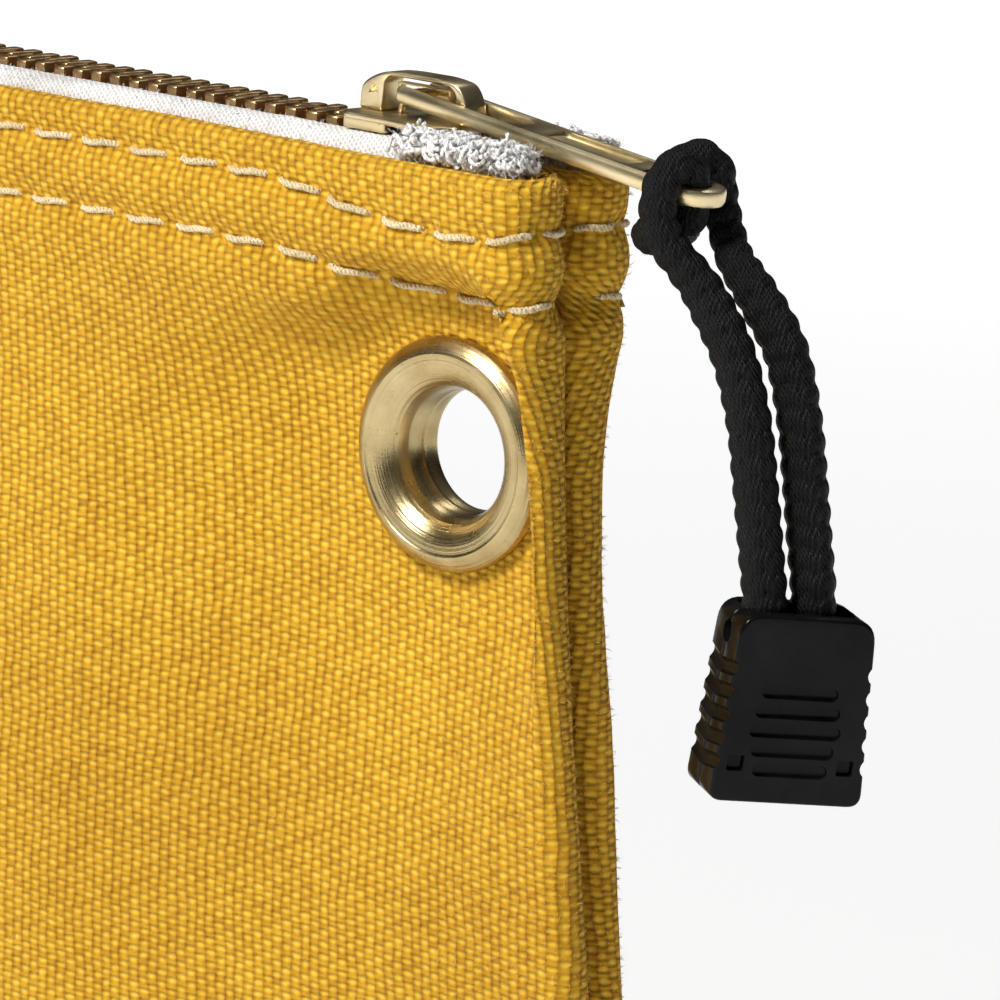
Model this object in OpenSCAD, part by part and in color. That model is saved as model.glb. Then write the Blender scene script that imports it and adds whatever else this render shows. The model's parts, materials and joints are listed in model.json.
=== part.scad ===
// Canvas zip bag for cash deposits: two canvas panels, a metal zipper, a self-locking slider with
// a pull tab, a grommet through both panels, and a cord pull that ends in a moulded cord end.
// Units are millimetres. Z is up, X runs along the zipper, and -Y is the front.

/* [Bag] */
// Width across the side seams where it is fullest
bag_w = 322.8; // [260:0.2:360]
// How far each side is drawn in at the mouth
side_draw = 8.7; // [6:0.1:10]
// Height from the base to the top of the hem
bag_h = 178; // [150:1:220]
// Thickness of the canvas
canvas_t = 1.1; // [0.8:0.1:1.4]
// Depth over the body where it is fullest
body_depth = 30; // [24:1:34]
// Depth over the two hems at the mouth
mouth_depth = 18; // [17:0.5:20]
// Depth over the side seam below the mouth
seam_depth = 8.8; // [8:0.2:11]
// Depth of the flat base
base_depth = 24; // [18:1:28]
// Height of the folded hem
hem_h = 12.4; // [11:0.2:14]

/* [Grommet] */
// Diameter of the hole through the grommet
grommet_bore = 11.1; // [9:0.1:12]
// Outer diameter of the flange and the washer
grommet_od = 21.4; // [20:0.1:23]
// Distance of the hole from the right side of the mouth
grommet_in = 12.5; // [12.4:0.1:16]
// Distance of the hole below the top of the hem
grommet_down = 26.5; // [26:0.5:30]
// How far the clamped canvas lies in front of the middle of the bag
clamp_shift = 1; // [0:0.1:1.2]

/* [Stitching] */
// Distance of the upper row below the top of the hem
upper_row = 3.4; // [2.5:0.1:4]
// Distance between the two rows of twin-needle stitching
row_gap = 6.35; // [5:0.05:7]
// Stitch pitch
stitch_pitch = 6.2; // [4:0.1:8]
// Diameter of the thread
thread_d = 0.8; // [0.6:0.1:1]

/* [Zipper] */
// Pitch of the teeth on one tape
tooth_pitch = 2.5; // [2.2:0.1:3]
// Width over the two meshed rows of teeth
chain_w = 6; // [5.5:0.1:6.4]
// Height of a tooth
tooth_h = 2.2; // [2:0.1:2.6]
// Height of the middle of the chain above the hem
chain_rise = 0.8; // [0.5:0.1:2]

/* [Pull] */
// Length of the tab from its pivot to its tip
tab_len = 34.6; // [30:0.2:40]
// Width of the tab
tab_w = 5.6; // [5.2:0.1:6]
// Thickness of the tab
tab_t = 1.6; // [1.4:0.1:2]
// How far the resting tab droops below level, in degrees
tab_droop = 7.8; // [4:0.2:8]
// Distance of the pivot from the right side of the mouth
pivot_in = 20.9; // [20:0.1:24]
// Diameter of the braided cord
cord_d = 4; // [3.6:0.1:4.2]

/* [Hidden] */
gap = 0.25;
tab_out = tab_len * cos(tab_droop) - pivot_in - side_draw;
bag_x = -tab_out / 2;
right_x = bag_x + bag_w / 2;
left_x = bag_x - bag_w / 2;
mouth_half = bag_w / 2 - side_draw;
mouth_right = bag_x + mouth_half;
mouth_left = bag_x - mouth_half;
chain_z = bag_h + chain_rise;
pivot_x = mouth_right - pivot_in;
pivot_up = 3.95;
pivot_z = chain_z + pivot_up;
grommet_x = mouth_right - grommet_in;
grommet_z = bag_h - grommet_down;
clamp_y = canvas_t + gap / 2;
brass = [0.78, 0.68, 0.45];
canvas_yellow = [0.87, 0.64, 0.18];
thread_cream = [0.93, 0.88, 0.75];
cord_black = [0.03, 0.03, 0.035];

// A rise from 0 at a to 1 at b with level ends.
function rise(a, b, v) = let (t = max(0, min(1, (v - a) / (b - a)))) t * t * (3 - 2 * t);
function mix(a, b, t) = a + (b - a) * t;

// ---- Canvas panels ----
// Half depth of a panel at height z, far from the sides and over the side seam.
function mid_half(z) = z < bag_h / 2
    ? mix(base_depth, body_depth, rise(0, bag_h * 0.4, z)) / 2
    : mix(body_depth, mouth_depth, rise(bag_h * 0.45, bag_h - hem_h, z)) / 2;
function side_half(z) = mix(seam_depth, mouth_depth - 0.4, rise(bag_h - 28, bag_h - 4, z)) / 2;
// Half width of the bag at height z.
function side_x(z) = bag_w / 2 - side_draw * rise(75, 168, z);
function pinch(x, z) = let (
    dx = x - (mouth_half - grommet_in),
    dz = z - grommet_z,
    r = norm([dx, dz]),
    away = r > 0 ? max(0, (-0.6 * dx - 0.8 * dz) / r) : 0
) 1 - rise(grommet_od / 2 + 2.4, 20 + 28 * away, r);
// Half depth of the panel on side, which is 1 at the front and -1 at the back.
function half_depth(x, z, side) = let (
    u = side_x(z) - abs(x),
    loose = mix(side_half(z), mid_half(z), rise(12, 80, u))
) mix(loose, clamp_y + side * clamp_shift, pinch(x, z));
// Radius of the rolled edge beside the side seam.
function lobe_r(z) = (side_half(z) - 0.3) / 2;
lobe_turns = [76, 38, 0, -38];
columns = 40;
face_rows = 16;
base_steps = [0, 0.45, 0.9];

// Beside the grommet the rolled edge is narrower, so that it stays clear of the flange.
function lobe_wide(z) = mix(lobe_r(z), 1.8, pinch(mouth_half - 1.5, z));
function lobe_point(z, turn, side) = let (r = lobe_r(z), wide = lobe_wide(z))
    [side * (side_x(z) - wide + wide * cos(turn)), -(side_half(z) - r) + r * sin(turn)];
function face_point(x, z, side) = [x, -half_depth(x, z, side)];
// One panel's outline across the bag at height z, with its columns closest near the grommet.
function across(z, side) = let (span = 2 * (side_x(z) - lobe_wide(z))) concat(
    [for (turn = lobe_turns) lobe_point(z, turn, 1)],
    [for (i = [0 : columns]) face_point(span * (0.5 - pow(i / columns, 1.5)), z, side)],
    [for (i = [len(lobe_turns) - 1 : -1 : 0]) lobe_point(z, lobe_turns[i], -1)]
);
// The same outline moved inwards by in.
function inset(path, in) = [for (i = [0 : len(path) - 1]) let (
    a = path[max(i - 1, 0)],
    b = path[min(i + 1, len(path) - 1)],
    along = (b - a) / norm(b - a)
) path[i] + in * [along[1], -along[0]]];
seam_y = -0.25;
edge_z = 1.6;
hem_step = 0.6;
hem_t = 2 * canvas_t + 0.4;
body_top = bag_h - hem_h;
face_span = body_top - hem_step - edge_z;
function row_z(j) = edge_z + face_span * (1 - pow(1 - j / face_rows, 1.4));
// A row of the base lies between the bottom seam and the outline just above the base.
function base_row(step, in, side) = let (
    path = inset(across(edge_z, side), in),
    n = len(path)
) [for (i = [0 : n - 1]) let (
    seam_x = bag_w * 0.97 * (0.5 - i / (n - 1)),
    p = mix([seam_x, seam_y], path[i], step)
) [p[0], p[1], in]];
function face_row(z, in, side) = [for (p = inset(across(z, side), in)) [p[0], p[1], z]];
function panel_grid(in, hem_in, side) = concat(
    [for (step = base_steps) base_row(step, in, side)],
    [for (j = [0 : face_rows]) face_row(row_z(j), in, side)],
    [for (z = [body_top, (body_top + bag_h) / 2, bag_h]) face_row(z, hem_in, side)]
);
function flat(rows) = [for (row = rows) for (p = row) p];

module panel_shell(side) {
    outer = panel_grid(0, 0, side);
    inner = panel_grid(canvas_t, hem_t, side);
    n = len(outer[0]);
    m = len(outer);
    all = n * m;
    sheet = [for (j = [0 : m - 2]) for (i = [0 : n - 2]) [j * n + i, j * n + i + 1,
        (j + 1) * n + i + 1, (j + 1) * n + i]];
    outer_faces = [for (q = sheet) for (t = [[q[0], q[2], q[1]], [q[0], q[3], q[2]]]) t];
    inner_faces = [for (q = sheet) for (t = [[q[0], q[1], q[2]], [q[0], q[2], q[3]]])
        [t[0] + all, t[1] + all, t[2] + all]];
    rim = concat(
        [for (i = [0 : n - 1]) i],
        [for (j = [1 : m - 1]) j * n + n - 1],
        [for (i = [n - 2 : -1 : 0]) (m - 1) * n + i],
        [for (j = [m - 2 : -1 : 1]) j * n]
    );
    rim_faces = [for (k = [0 : len(rim) - 1]) let (a = rim[k], b = rim[(k + 1) % len(rim)])
        for (t = [[a, b, b + all], [a, b + all, a + all]]) t];
    polyhedron(concat(flat(outer), flat(inner)), concat(outer_faces, inner_faces, rim_faces));
}

module panel(side) {
    translate([bag_x, 0, 0]) difference() {
        panel_shell(side);
        translate([mouth_half - grommet_in, 0, grommet_z]) rotate([90, 0, 0])
            cylinder(r = grommet_bore / 2 + 0.75, h = 40, center = true, $fn = 48);
    }
}
module front_panel() { color(canvas_yellow) panel(1); }
module back_panel() { color(canvas_yellow) mirror([0, 1, 0]) panel(-1); }

// ---- Zipper ----
tape_t = 0.5;
tape_half = mouth_depth / 2 - hem_t - 0.5;
tape_drop = 7;
chain_start = mouth_left + 9;
chain_end = pivot_x + 0.6;
tape_start = mouth_left + 4;
tape_end = mouth_right - 4;
// One tape in section: level beside the teeth, then down the inside of the hem.
module tape() {
    translate([tape_start, 0, 0]) rotate([90, 0, 90]) linear_extrude(tape_end - tape_start)
        polygon([[-chain_w / 2 - 0.05, chain_z - tape_t / 2], [-chain_w / 2 - 0.05, chain_z + tape_t / 2],
            [-tape_half + 1, chain_z + tape_t / 2], [-tape_half, chain_z - 0.7],
            [-tape_half, chain_z - tape_drop], [-tape_half + tape_t, chain_z - tape_drop],
            [-tape_half + tape_t, chain_z - 1.1], [-tape_half + 1.3, chain_z - tape_t / 2]]);
}
module front_tape() { color("whitesmoke") tape(); }
module back_tape() { color("whitesmoke") mirror([0, 1, 0]) tape(); }

// A tooth, with its legs on the tape's edge and its head past the middle of the chain.
module tooth() {
    translate([0, 0, -tooth_h / 2]) linear_extrude(tooth_h)
        polygon([[-0.7, -chain_w / 2], [0.7, -chain_w / 2], [0.75, -1.4], [0.45, -0.95], [0.5, 0.85],
            [0.3, 1], [-0.3, 1], [-0.5, 0.85], [-0.45, -0.95], [-0.75, -1.4]]);
}
// Every second pitch of the chain carries a tooth of the same row.
module tooth_row(shift) {
    count = floor((chain_end - chain_start - tooth_pitch / 2 - 0.5) / tooth_pitch);
    for (i = [0 : count])
        translate([chain_start + shift + i * tooth_pitch, 0, chain_z]) tooth();
}
module front_teeth() { color([0.55, 0.42, 0.28]) tooth_row(0); }
module back_teeth() { color([0.55, 0.42, 0.28]) mirror([0, 1, 0]) tooth_row(tooth_pitch / 2); }

stop_x = pivot_x + 4.4;
module top_stop() {
    translate([stop_x, -2.66, chain_z]) cube([2.6, 0.7, 2.1], center = true);
}
module front_top_stop() { color("peru") top_stop(); }
module back_top_stop() { color("peru") mirror([0, 1, 0]) top_stop(); }
module bottom_stop() {
    color("peru") translate([chain_start - 2.4, 0, chain_z]) cube([2.4, chain_w - 1, 2], center = true);
}

// ---- Slider ----
plate_t = 0.7;
plate_z = 2;
lip_w = 1.1;
channel_half = chain_w / 2 + gap;
nose_half = channel_half + lip_w;
shoulder_half = nose_half + 0.75;
nose_x = -6.1;
lip_end = -0.2;
plate_end = 7.2;
plate_outline = [[nose_x, -nose_half + 0.8], [nose_x + 0.8, -nose_half], [lip_end, -nose_half],
    [lip_end + 4, -shoulder_half], [plate_end - 1.6, -shoulder_half + 0.2], [plate_end, -shoulder_half + 2.2],
    [plate_end, shoulder_half - 2.2], [plate_end - 1.6, shoulder_half - 0.2], [lip_end + 4, shoulder_half],
    [lip_end, nose_half], [nose_x + 0.8, nose_half], [nose_x, nose_half - 0.8]];
wedge_outline = [[1.6, 0], [4.4, 1.9], [6.4, 1.5], [6.4, -1.5], [4.4, -1.9]];
pawl_slot = [[-3, -0.6], [-1.4, -0.6], [-1.4, 0.6], [-3, 0.6]];

module at_slider() { translate([pivot_x, 0, chain_z]) children(); }
module plate() {
    translate([0, 0, plate_z - plate_t]) linear_extrude(plate_t) polygon(plate_outline);
    for (side = [-1, 1]) translate([nose_x + 0.8, side > 0 ? channel_half : -nose_half, 0.55])
        cube([lip_end - nose_x - 0.8, lip_w, plate_z - 0.6]);
}
module slider_body() {
    color(brass) at_slider() difference() {
        union() {
            plate();
            mirror([0, 0, 1]) plate();
            translate([0, 0, -plate_z + 0.2]) linear_extrude(2 * plate_z - 0.4) polygon(wedge_outline);
        }
        translate([0, 0, 1]) linear_extrude(3) polygon(pawl_slot);
    }
}

// The crown is an arch over a window; the tab's bar turns inside the window.
cover_w = 2.8;
cover_left = -6;
cover_right = 7;
cover_top = 5.8;
module slider_cover() {
    color(brass) at_slider() translate([0, cover_w / 2, 0]) rotate([90, 0, 0]) linear_extrude(cover_w)
        difference() {
            polygon([[cover_left, plate_z + 0.02], [cover_left + 0.1, 4.1], [cover_left + 1.2, 5],
                [cover_left + 2.8, 5.65], [-1, cover_top], [3.4, cover_top], [5.6, 5.45], [6.6, 4.2],
                [cover_right, plate_z + 0.02]]);
            polygon([[-3.3, plate_z - 1], [-3.2, 4.8], [-2.6, 5.3], [4.2, 5.3], [5.2, 4.7], [5.5, 3.4],
                [5.6, plate_z - 1]]);
        }
}
// The pawl's strip runs over the tab's bar, and its tip reaches down through the top plate.
module lock_pawl() {
    color(brass) at_slider() translate([0, 0.4, 0]) rotate([90, 0, 0]) linear_extrude(0.8)
        polygon([[-2.5, 1.35], [-2.1, 1.35], [-1.7, 2.7], [-2.1, 4.57], [3.5, 4.57], [3.7, 3.2], [4, 3.2],
            [3.8, 4.8], [-2.4, 4.8], [-2.1, 2.8]]);
}

// ---- Pull tab ----
eye_len = 12.2;
eye_half = cover_w / 2 + 0.25;
bar_r = 0.5;
hole_len = 5.2;
hole_half = 1.75;
hole_x = tab_len - 2.2 - hole_len;
panel_start = 15.2;
panel_end = hole_x - 1.6;
module tab_outline() {
    difference() {
        union() {
            translate([0, -tab_w / 2]) square([tab_len - tab_w / 2, tab_w]);
            translate([tab_len - tab_w / 2, 0]) circle(d = tab_w, $fn = 40);
        }
        translate([-1, -eye_half]) square([eye_len + bar_r + 1, 2 * eye_half]);
        translate([hole_x, -hole_half]) square([hole_len, 2 * hole_half]);
    }
}
module pull_tab() {
    color(brass) translate([pivot_x, 0, pivot_z]) rotate([0, tab_droop, 0]) {
        difference() {
            translate([0, 0, -tab_t / 2]) linear_extrude(tab_t) tab_outline();
            translate([panel_start, -tab_w / 2 + 0.9, tab_t / 2 - 0.35])
                cube([panel_end - panel_start, tab_w - 1.8, 1]);
        }
        rotate([90, 0, 0]) cylinder(r = bar_r, h = tab_w - 0.4, center = true, $fn = 32);
        for (side = [-1, 1]) translate([0, side * (tab_w / 2 + eye_half) / 2, 0]) rotate([90, 0, 0])
            cylinder(d = tab_t, h = tab_w / 2 - eye_half, center = true, $fn = 32);
    }
}

// ---- Grommet ----
bore_r = grommet_bore / 2;
rim_r = grommet_od / 2;
barrel_w = 0.5;
module at_grommet() { translate([grommet_x, -clamp_shift, grommet_z]) rotate([90, 0, 0]) children(); }
module grommet_eyelet() {
    color(brass) at_grommet() rotate_extrude($fn = 96) polygon([[bore_r, -2.6], [bore_r, 2.4],
        [bore_r + 0.5, 3.1], [bore_r + 1.6, 3.5], [bore_r + 2.9, 3.45], [rim_r - 0.6, 2.7], [rim_r, 2],
        [rim_r - 0.1, clamp_y + 0.2], [rim_r - 0.7, clamp_y + 0.2], [rim_r - 1.3, 2.3], [bore_r + 2.6, 2.85],
        [bore_r + 1.5, 2.8], [bore_r + 0.8, 2.2], [bore_r + barrel_w, 1.6], [bore_r + barrel_w, -2.4],
        [bore_r + 0.9, -2.7], [bore_r + 2, -2.55], [bore_r + 2.3, -2.9], [bore_r + 1.4, -3.4],
        [bore_r + 0.4, -3.2]]);
}
module grommet_washer() {
    color(brass) at_grommet() rotate_extrude($fn = 96) polygon([[bore_r + 0.65, -clamp_y - 0.25],
        [rim_r - 0.3, -clamp_y - 0.25], [rim_r - 0.1, -2], [rim_r - 0.5, -2.6], [rim_r - 1.2, -2.6],
        [bore_r + 2.6, -2.25], [bore_r + 0.65, -2.1]]);
}

// ---- Stitching ----
stitch_len = stitch_pitch * 0.7;
stitch_margin = 9;
module stitch(length) {
    rotate([0, 90, 0]) cylinder(d = thread_d, h = length, center = true, $fn = 8);
}
// Above the grommet the rows dip, and they rise again towards the side.
function row_dip(x) = 2.3 * rise(mouth_half - 32, mouth_half - 11, x)
    * (1 - 0.5 * rise(mouth_half - 6, mouth_half + 2, x));
// A row of stitches on one panel's hem; each lies on the canvas at its own depth.
module hem_row(down, side) {
    count = floor(2 * (mouth_half - stitch_margin) / stitch_pitch);
    start = -(count * stitch_pitch) / 2;
    for (i = [0 : count]) let (x = start + i * stitch_pitch, z = bag_h - down - row_dip(x))
        translate([bag_x + x, -half_depth(x, z, side) - thread_d * 0.1, z]) stitch(stitch_len);
}
module front_upper_stitching() { color(thread_cream) hem_row(upper_row, 1); }
module front_lower_stitching() { color(thread_cream) hem_row(upper_row + row_gap, 1); }
module back_upper_stitching() { color(thread_cream) mirror([0, 1, 0]) hem_row(upper_row, -1); }
module back_lower_stitching() { color(thread_cream) mirror([0, 1, 0]) hem_row(upper_row + row_gap, -1); }
// Stitches that join the two panels' turned-in edges lie across the middle plane.
seam_top = 44;
seam_in = 3.4;
module side_seam(side) {
    for (z = [12 : stitch_pitch : bag_h - seam_top])
        translate([bag_x + side * (side_x(z) - seam_in), 0, z]) rotate([90, 0, 0]) cylinder(d = thread_d, h = 0.4, center = true, $fn = 8);
}
module right_seam_stitching() { color(thread_cream) side_seam(1); }
module left_seam_stitching() { color(thread_cream) side_seam(-1); }
module bottom_seam_stitching() {
    color(thread_cream) for (x = [left_x + 14 : stitch_pitch : right_x - 14])
        translate([x, 0, 0.55]) rotate([90, 0, 0]) cylinder(d = thread_d, h = 0.4, center = true, $fn = 8);
}

// ---- Cord ----
// Middle line of the cord: from the knot up one strand, through the tab's hole, once over the tip
// and round under the strands, back over the tip, and down the other strand to the knot.
front_strand = [[173.1, -1.9, 142.2], [173.1, -2.1, 145.4], [172.4, -2.2, 149.5], [171.3, -2.2, 155.1],
    [170.1, -2.2, 160.4], [167.9, -2.2, 165.8], [164.4, -2.2, 170.4]];
back_strand = [[175.6, 1.6, 142.2], [175.3, 1.8, 146], [174.4, 2, 150], [173.4, 2.1, 155],
    [172.2, 2.2, 160.4], [170.2, 2.2, 166], [166.6, 2.2, 170.4]];
front_hitch = [[162.6, -2.9, 172.6], [161.2, -3.9, 174.6], [160.4, -4.2, 177.3], [160.5, -3.6, 179.8],
    [160.8, -1.9, 180.8], [161.1, -0.6, 179.8], [161.1, -0.3, 177.2], [160.6, -0.9, 175.6],
    [159.2, -2.4, 174.6], [157.6, -1.6, 174.3], [157.2, 0, 174.3]];
back_hitch = [[157.2, 0, 174.3], [157.6, 1.6, 174.3], [158.3, 2.2, 174.7], [158.5, 1.1, 175.9],
    [158.4, 0.5, 178.2], [158.6, 0.9, 180.2], [159.3, 2.6, 181], [160.1, 4.1, 179.8],
    [160.6, 4.3, 177.3], [161.8, 3.9, 174.8], [163.8, 2.9, 172.6]];

sides = 8;
function unit(v) = v / norm(v);
function heading(path, i) = unit(path[min(i + 1, len(path) - 1)] - path[max(i - 1, 0)]);
// Each ring's first axis is the last one's, turned only as far as the path turns.
function side_axes(path, i = 0, axes = []) = i == len(path) ? axes
    : let (
        before = i == 0 ? [0.1, 1, 0.05] : axes[i - 1],
        ahead = heading(path, i)
    ) side_axes(path, i + 1, concat(axes, [unit(before - (before * ahead) * ahead)]));
module tube(path, r) {
    axes = side_axes(path);
    n = len(path);
    points = [for (i = [0 : n - 1]) let (a = axes[i], b = cross(heading(path, i), a))
        for (k = [0 : sides - 1]) path[i] + r * (a * cos(360 * k / sides) + b * sin(360 * k / sides))];
    walls = [for (i = [0 : n - 2]) for (k = [0 : sides - 1]) let (
        a = i * sides + k,
        b = i * sides + (k + 1) % sides
    ) for (t = [[a, a + sides, b + sides], [a, b + sides, b]]) t];
    polyhedron(points, concat(walls, [[for (k = [0 : sides - 1]) k]],
        [[for (k = [sides - 1 : -1 : 0]) (n - 1) * sides + k]]));
}
module cord_hitch() {
    color(cord_black) {
        tube(front_hitch, 1.3);
        tube(back_hitch, 1.3);
    }
}
module cord_strands() {
    color(cord_black) {
        tube(front_strand, cord_d / 2);
        tube(back_strand, cord_d / 2);
    }
}

// ---- Cord end ----
end_at = [174.6, 0, 136.2];
end_h = 16.5;
end_top = 12;
end_bottom = 13.9;
end_depth = 6.8;
end_turn = 55;
end_tilt = 4;
shell_t = 1.2;
slot_half = 4.9;
groove_lens = [6.9, 7.7, 8.3, 7.5, 6.8];
groove_pitch = 1.72;
groove_w = 1.25;
window = [2.1, 1.5];
window_at = [5.3, -4.8];
side_hole_r = 1;
side_hole_up = 5.9;
module at_end() { translate(end_at) rotate([0, end_tilt, end_turn]) children(); }
module end_outline(inset) {
    polygon([[-end_top / 2 + inset, end_h / 2 - inset], [-end_bottom / 2 + inset, -end_h / 2 + inset],
        [end_bottom / 2 - inset, -end_h / 2 + inset], [end_top / 2 - inset, end_h / 2 - inset]]);
}
// A half shell, open at the top for the two strands and on its inner side.
module end_shell() {
    half = end_depth / 2;
    rotate([90, 0, 0]) difference() {
        linear_extrude(half) end_outline(0);
        translate([0, 0, -1]) linear_extrude(half + 1 - shell_t) end_outline(shell_t);
        translate([-slot_half, 0, -1]) cube([2 * slot_half, end_h, 1 + half - shell_t]);
        for (i = [0 : len(groove_lens) - 1])
            translate([-groove_lens[i] / 2, 1.6 - groove_w / 2 - groove_pitch * i, half - 0.5])
                cube([groove_lens[i], groove_w, 1]);
        for (side = [-1, 1]) {
            translate([side * window_at[0] - window[0] / 2, window_at[1] - window[1] / 2, half - 0.8])
                cube([window[0], window[1], 2]);
            translate([side * end_top / 2, side_hole_up, 0]) rotate([0, 90, 0])
                cylinder(r = side_hole_r, h = 4, center = true, $fn = 24);
        }
    }
}
module cord_end_front() { color(cord_black) at_end() translate([0, -0.02, 0]) end_shell(); }
module cord_end_back() { color(cord_black) at_end() rotate([0, 0, 180]) translate([0, -0.02, 0]) end_shell(); }
module cord_knot() {
    color(cord_black) translate(end_at - [0, 0, 2]) sphere(r = 2.1, $fn = 24);
}

front_panel();
back_panel();
front_tape();
back_tape();
front_teeth();
back_teeth();
front_top_stop();
back_top_stop();
bottom_stop();
slider_body();
slider_cover();
lock_pawl();
pull_tab();
grommet_eyelet();
grommet_washer();
cord_hitch();
cord_strands();
cord_knot();
cord_end_front();
cord_end_back();
front_upper_stitching();
front_lower_stitching();
back_upper_stitching();
back_lower_stitching();
right_seam_stitching();
left_seam_stitching();
bottom_seam_stitching();
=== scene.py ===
import bmesh
import bpy
import json
import math
import numpy as np
from mathutils import Matrix, Vector, noise


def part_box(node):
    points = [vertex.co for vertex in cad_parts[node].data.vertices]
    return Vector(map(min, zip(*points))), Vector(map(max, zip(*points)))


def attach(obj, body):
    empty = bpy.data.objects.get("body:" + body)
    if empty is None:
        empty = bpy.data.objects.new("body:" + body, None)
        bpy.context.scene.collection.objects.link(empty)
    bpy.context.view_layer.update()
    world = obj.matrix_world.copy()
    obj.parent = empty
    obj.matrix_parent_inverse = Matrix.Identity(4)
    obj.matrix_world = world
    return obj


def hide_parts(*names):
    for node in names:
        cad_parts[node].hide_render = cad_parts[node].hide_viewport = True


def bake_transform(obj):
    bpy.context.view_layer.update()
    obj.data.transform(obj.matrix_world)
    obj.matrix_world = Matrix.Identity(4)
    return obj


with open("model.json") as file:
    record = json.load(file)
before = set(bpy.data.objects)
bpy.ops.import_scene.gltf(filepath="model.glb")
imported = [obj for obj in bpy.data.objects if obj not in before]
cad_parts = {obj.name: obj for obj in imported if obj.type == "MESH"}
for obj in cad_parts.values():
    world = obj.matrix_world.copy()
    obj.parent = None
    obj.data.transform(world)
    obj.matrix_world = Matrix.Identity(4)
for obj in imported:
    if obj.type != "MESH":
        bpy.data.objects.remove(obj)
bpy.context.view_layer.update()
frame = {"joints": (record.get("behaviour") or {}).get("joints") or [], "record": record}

# All shapes are worked out in millimetres and scaled to metres as their meshes are made.
MM = 0.001
RNG = np.random.default_rng(11)
JOINTS = {j["name"]: j for j in frame["joints"]}
MOUNTS = {m["name"]: m for m in frame["record"]["mounts"]}


def mm_box(node):
    lo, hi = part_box(node)
    return np.array(lo) / MM, np.array(hi) / MM


PANEL_LO, PANEL_HI = mm_box("front_panel")
HIGH = PANEL_HI[2]
HALF = (PANEL_HI[0] - PANEL_LO[0]) / 2
MID = (PANEL_HI[0] + PANEL_LO[0]) / 2
PIVOT = np.array(JOINTS["pull_swing"]["pos_m"]) / MM
HOLE = np.array(MOUNTS["hang_hole"]["pos_m"]) / MM
# Each side seam leans in by DRAW between these two heights.
DRAW, LEAN_FROM, LEAN_TO = 9.9, 75, 168
MOUTH_HALF = HALF - DRAW
CHAIN_Z = float(sum(mm_box("bottom_stop")[i][2] for i in (0, 1)) / 2)


def back_along(azimuth, elevation):
    """The unit direction from a target back to what looks at it; azimuth 0 looks along +Y."""
    a, e = math.radians(azimuth), math.radians(elevation)
    return Vector((math.sin(a) * math.cos(e), -math.cos(a) * math.cos(e), math.sin(e)))


def linked(name, data):
    obj = bpy.data.objects.new(name, data)
    bpy.context.scene.collection.objects.link(obj)
    return obj


# ---- Camera ----
VIEW_AZ, VIEW_EL, VIEW_ROLL = 39.5, 12.5, 3.5
VIEW_FAR = 0.42
VIEW_AIM = HOLE + np.array([4.7, -0.2, -3.5])


def make_camera():
    az, roll = math.radians(VIEW_AZ), math.radians(VIEW_ROLL)
    aim = Vector(VIEW_AIM) * MM
    across = Vector((math.cos(az), math.sin(az), 0))
    back = back_along(VIEW_AZ, VIEW_EL)
    upward = back.cross(across)
    right = across * math.cos(roll) + upward * math.sin(roll)
    up = upward * math.cos(roll) - across * math.sin(roll)
    data = bpy.data.cameras.new("camera")
    data.sensor_width = 36
    data.lens = 169.3
    data.clip_start, data.clip_end = 0.02, 60
    cam = linked("camera", data)
    turn = Matrix((right, up, back)).transposed()
    cam.matrix_world = Matrix.Translation(aim + back * VIEW_FAR) @ turn.to_4x4()
    bpy.context.scene.camera = cam


make_camera()


# ---- Mesh helpers ----
def rise(a, b, v):
    """A smooth step from 0 at a to 1 at b."""
    t = np.clip((np.asarray(v, float) - a) / (b - a), 0, 1)
    return t * t * (3 - 2 * t)


def mix(a, b, t):
    return a + (b - a) * t


def piece(name, shape, body, nodes, material, sharp=None):
    """A smooth-shaded piece on its body, in place of its CAD nodes.

    The shape is verts in millimetres and faces. Edges sharper than sharp degrees stay hard.
    """
    verts, faces = shape
    data = bpy.data.meshes.new(name)
    data.from_pydata((np.asarray(verts, float) * MM).tolist(), [], [tuple(f) for f in faces])
    data.validate()
    data.polygons.foreach_set("use_smooth", [True] * len(data.polygons))
    if sharp is not None:
        data.set_sharp_from_angle(angle=math.radians(sharp))
    data.update()
    data.materials.append(material)
    obj = linked(name, data)
    if body:
        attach(obj, body)
    if nodes:
        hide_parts(*nodes)
    return obj


class Parts:
    """Collects vertices and faces of several shapes for one mesh."""

    def __init__(self):
        self.verts, self.faces, self.count = [], [], 0

    def add(self, verts, faces):
        verts = np.asarray(verts, float).reshape(-1, 3)
        self.verts.append(verts)
        start = self.count
        self.faces.extend([tuple(i + start for i in f) for f in faces])
        self.count += len(verts)
        return self

    def shape(self):
        return np.concatenate(self.verts), self.faces


def grid_faces(rows, cols, close=False, flip=False):
    """Quads between rows of cols points each; close joins the last column to the first."""
    wide = cols if close else cols - 1
    j, i = np.meshgrid(np.arange(rows - 1), np.arange(wide), indexing="ij")
    k = (i + 1) % cols
    corners = [j * cols + i, j * cols + k, (j + 1) * cols + k, (j + 1) * cols + i]
    quads = np.stack(corners, -1).reshape(-1, 4)
    return quads[:, ::-1] if flip else quads


def travelled(path):
    """The distance along a path at each of its points."""
    return np.concatenate([[0], np.cumsum(np.linalg.norm(np.diff(path, axis=0), axis=1))])


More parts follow.
